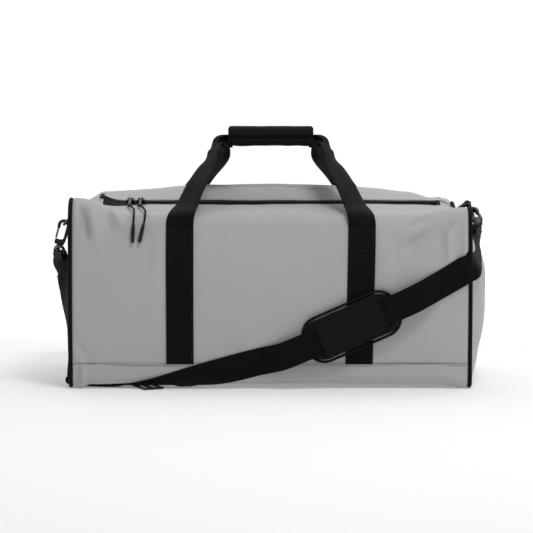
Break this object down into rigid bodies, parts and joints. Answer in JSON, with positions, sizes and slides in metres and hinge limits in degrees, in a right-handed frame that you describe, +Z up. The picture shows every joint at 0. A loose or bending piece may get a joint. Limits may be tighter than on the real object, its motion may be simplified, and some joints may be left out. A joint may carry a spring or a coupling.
{
  "type": "duffel bag",
  "caption": "Soft rectangular duffel bag with a zipped top, two webbing handles joined by a padded grip, and a clipped shoulder strap with a pad.",
  "frame": {"origin": "middle of the base's underside, on the floor", "axes": "+X along the bag to the right as seen from the front, -Y to the front, +Z up"},
  "size_m": [0.6391, 0.323, 0.367],
  "materials": {
    "bag_fabric": "smooth light grey coated polyester",
    "webbing": "ribbed black polyester webbing",
    "trim": "black woven tape and cord",
    "pad_fabric": "matt black padded fabric",
    "lining": "dark woven lining and netting",
    "board": "matt plastic stiffener",
    "zip_plastic": "black nylon and moulded rubbery plastic",
    "buckle_plastic": "satin black acetal",
    "black_metal": "black enamelled metal"
  },
  "bodies": {
    "bag": {"front_panel": "bag_fabric", "rear_panel": "bag_fabric", "base_panel": "bag_fabric", "piping_left": "trim", "piping_right": "trim", "end_panel_left": "bag_fabric", "end_panel_right": "bag_fabric", "base_board": "board", "lining": "lining", "lining_end_left": "lining", "lining_end_right": "lining", "mesh_pocket": "lining", "zip_stop_left": "trim", "zip_stop_right": "trim", "handle_base_front_left": "webbing", "handle_base_front_right": "webbing", "handle_base_rear_left": "webbing", "handle_base_rear_right": "webbing", "handle_riser_front_left": "webbing", "handle_riser_front_right": "webbing", "handle_riser_rear_left": "webbing", "handle_riser_rear_right": "webbing", "tab_left": "webbing", "tab_right": "webbing", "strap_main": "webbing", "strap_return": "webbing", "strap_drop_left": "webbing", "strap_drop_right": "webbing", "strap_adjuster": "buckle_plastic"},
    "flap_front": {"mouth_flap_front": "bag_fabric", "zip_tape_front": "trim", "zip_coil_front": "zip_plastic"},
    "flap_rear": {"mouth_flap_rear": "bag_fabric", "zip_tape_rear": "trim", "zip_coil_rear": "zip_plastic"},
    "slider_left": {"zip_slider_left": "black_metal"},
    "slider_right": {"zip_slider_right": "black_metal"},
    "pull_left": {"pull_ring_left": "black_metal", "pull_cord_left": "trim", "pull_grip_left": "zip_plastic"},
    "pull_right": {"pull_ring_right": "black_metal", "pull_cord_right": "trim", "pull_grip_right": "zip_plastic"},
    "grip": {"grip_wrap": "pad_fabric", "handle_top_front": "webbing", "handle_top_rear": "webbing"},
    "pad": {"pad_body": "pad_fabric", "pad_binding": "trim", "pad_sleeve": "pad_fabric"},
    "ring_left": {"d_ring_left": "black_metal"},
    "ring_right": {"d_ring_right": "black_metal"},
    "clip_left": {"clip_base_left": "buckle_plastic"},
    "clip_right": {"clip_base_right": "buckle_plastic"},
    "hook_left": {"hook_left": "buckle_plastic"},
    "hook_right": {"hook_right": "buckle_plastic"},
    "gate_left": {"hook_gate_left": "black_metal"},
    "gate_right": {"hook_gate_right": "black_metal"}
  },
  "joints": [
    {"name": "mouth_rear", "type": "hinge", "parent": "bag", "child": "flap_rear", "pos_m": [0, 0.0752, 0.2625], "axis": [1, 0, 0], "range_deg": [0, 68]},
    {"name": "mouth_front", "type": "hinge", "parent": "bag", "child": "flap_front", "pos_m": [0, -0.0918, 0.2455], "axis": [-1, 0, 0], "range_deg": [0, 68]},
    {"name": "zip_open", "type": "slide", "parent": "bag", "child": "slider_right", "axis": [1, 0, 0], "range_m": [0, 0.42], "deforming": ["pull_cord_right", "pull_grip_right"]},
    {"name": "zip_left", "type": "slide", "parent": "bag", "child": "slider_left", "axis": [-1, 0, 0], "range_m": [0, 0.014], "deforming": ["pull_cord_left", "pull_grip_left"]},
    {"name": "pull_left_lift", "type": "hinge", "parent": "slider_left", "child": "pull_left", "pos_m": [-0.202, -0.0439, 0.2605], "axis": [-1, 0, 0], "range_deg": [0, 55]},
    {"name": "pull_right_lift", "type": "hinge", "parent": "slider_right", "child": "pull_right", "pos_m": [-0.187, -0.0439, 0.2605], "axis": [-1, 0, 0], "range_deg": [0, 55]},
    {"name": "grip_drop", "type": "slide", "parent": "bag", "child": "grip", "axis": [0, 0, 1], "range_m": [-0.05, 0], "deforming": ["handle_riser_front_left", "handle_riser_front_right", "handle_riser_rear_left", "handle_riser_rear_right"]},
    {"name": "pad_slide", "type": "slide", "parent": "bag", "child": "pad", "axis": [0.9159, 0, 0.4014], "range_m": [-0.02, 0.02]},
    {"name": "clip_left_swing", "type": "hinge", "parent": "bag", "child": "clip_left", "pos_m": [-0.287, 0, 0.238], "axis": [0, 1, 0], "range_deg": [0, 20], "deforming": ["strap_drop_left"]},
    {"name": "ring_left_swing", "type": "hinge", "parent": "bag", "child": "ring_left", "pos_m": [-0.287, 0, 0.238], "axis": [0, 1, 0], "range_deg": [0, 20]},
    {"name": "hook_left_swivel", "type": "hinge", "parent": "clip_left", "child": "hook_left", "pos_m": [-0.31104, 0, 0.19055], "axis": [0.2571, 0, 0.9664], "range_deg": [-25, 25]},
    {"name": "gate_left_spring", "type": "hinge", "parent": "hook_left", "child": "gate_left", "pos_m": [-0.31423, 0, 0.20423], "axis": [0, 1, 0], "range_deg": [0, 20], "stiffness_Nm_per_rad": 0.02, "springref_deg": -11.46},
    {"name": "clip_right_swing", "type": "hinge", "parent": "bag", "child": "clip_right", "pos_m": [0.29, 0, 0.254], "axis": [0, -1, 0], "range_deg": [0, 20], "deforming": ["strap_drop_right"]},
    {"name": "ring_right_swing", "type": "hinge", "parent": "bag", "child": "ring_right", "pos_m": [0.29, 0, 0.254], "axis": [0, -1, 0], "range_deg": [0, 20]},
    {"name": "hook_right_swivel", "type": "hinge", "parent": "clip_right", "child": "hook_right", "pos_m": [0.30143, -0.0471, 0.22807], "axis": [-0.2001, 0.8703, 0.4501], "range_deg": [-20, 3]},
    {"name": "gate_right_spring", "type": "hinge", "parent": "hook_right", "child": "gate_right", "pos_m": [0.30542, -0.03514, 0.23426], "axis": [0, -0.4594, 0.8882], "range_deg": [0, 20], "stiffness_Nm_per_rad": 0.02, "springref_deg": -11.46}
  ],
  "couplings": [
    {"joint": "mouth_front", "follows": "mouth_rear", "ratio": 1},
    {"joint": "zip_open", "follows": "mouth_rear", "m_per_rad": 0.35},
    {"joint": "ring_left_swing", "follows": "clip_left_swing", "ratio": 1},
    {"joint": "ring_right_swing", "follows": "clip_right_swing", "ratio": 1}
  ]
}
